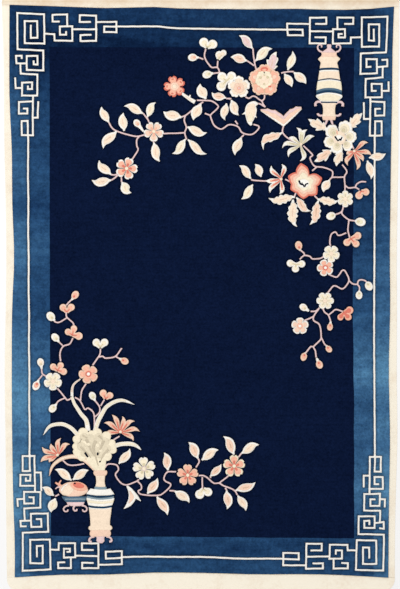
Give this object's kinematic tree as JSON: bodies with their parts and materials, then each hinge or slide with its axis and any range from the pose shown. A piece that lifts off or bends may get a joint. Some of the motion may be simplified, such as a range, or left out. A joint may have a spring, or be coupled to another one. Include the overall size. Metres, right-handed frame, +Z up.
{
  "type": "chinese pile rug",
  "caption": "Flat knotted wool floor rug with fretwork corners, vases and flowering branches on a dark ground, edged all round with a sewn cotton web.",
  "frame": {"origin": "on the floor under the middle of the rug, at the centre of its box", "axes": "+Z up, +Y along the rug's length towards the end whose vase hangs upside down, +X across its width to the right as seen from above"},
  "size_m": [1.9257, 2.918, 0.0125],
  "materials": {
    "navy_wool": "matte",
    "ivory_cotton": "matte"
  },
  "bodies": {
    "root": {"pile_rug": "navy_wool", "side_web_left": "ivory_cotton", "side_web_right": "ivory_cotton", "end_web_lower": "ivory_cotton", "end_web_upper": "ivory_cotton"}
  },
  "joints": []
}
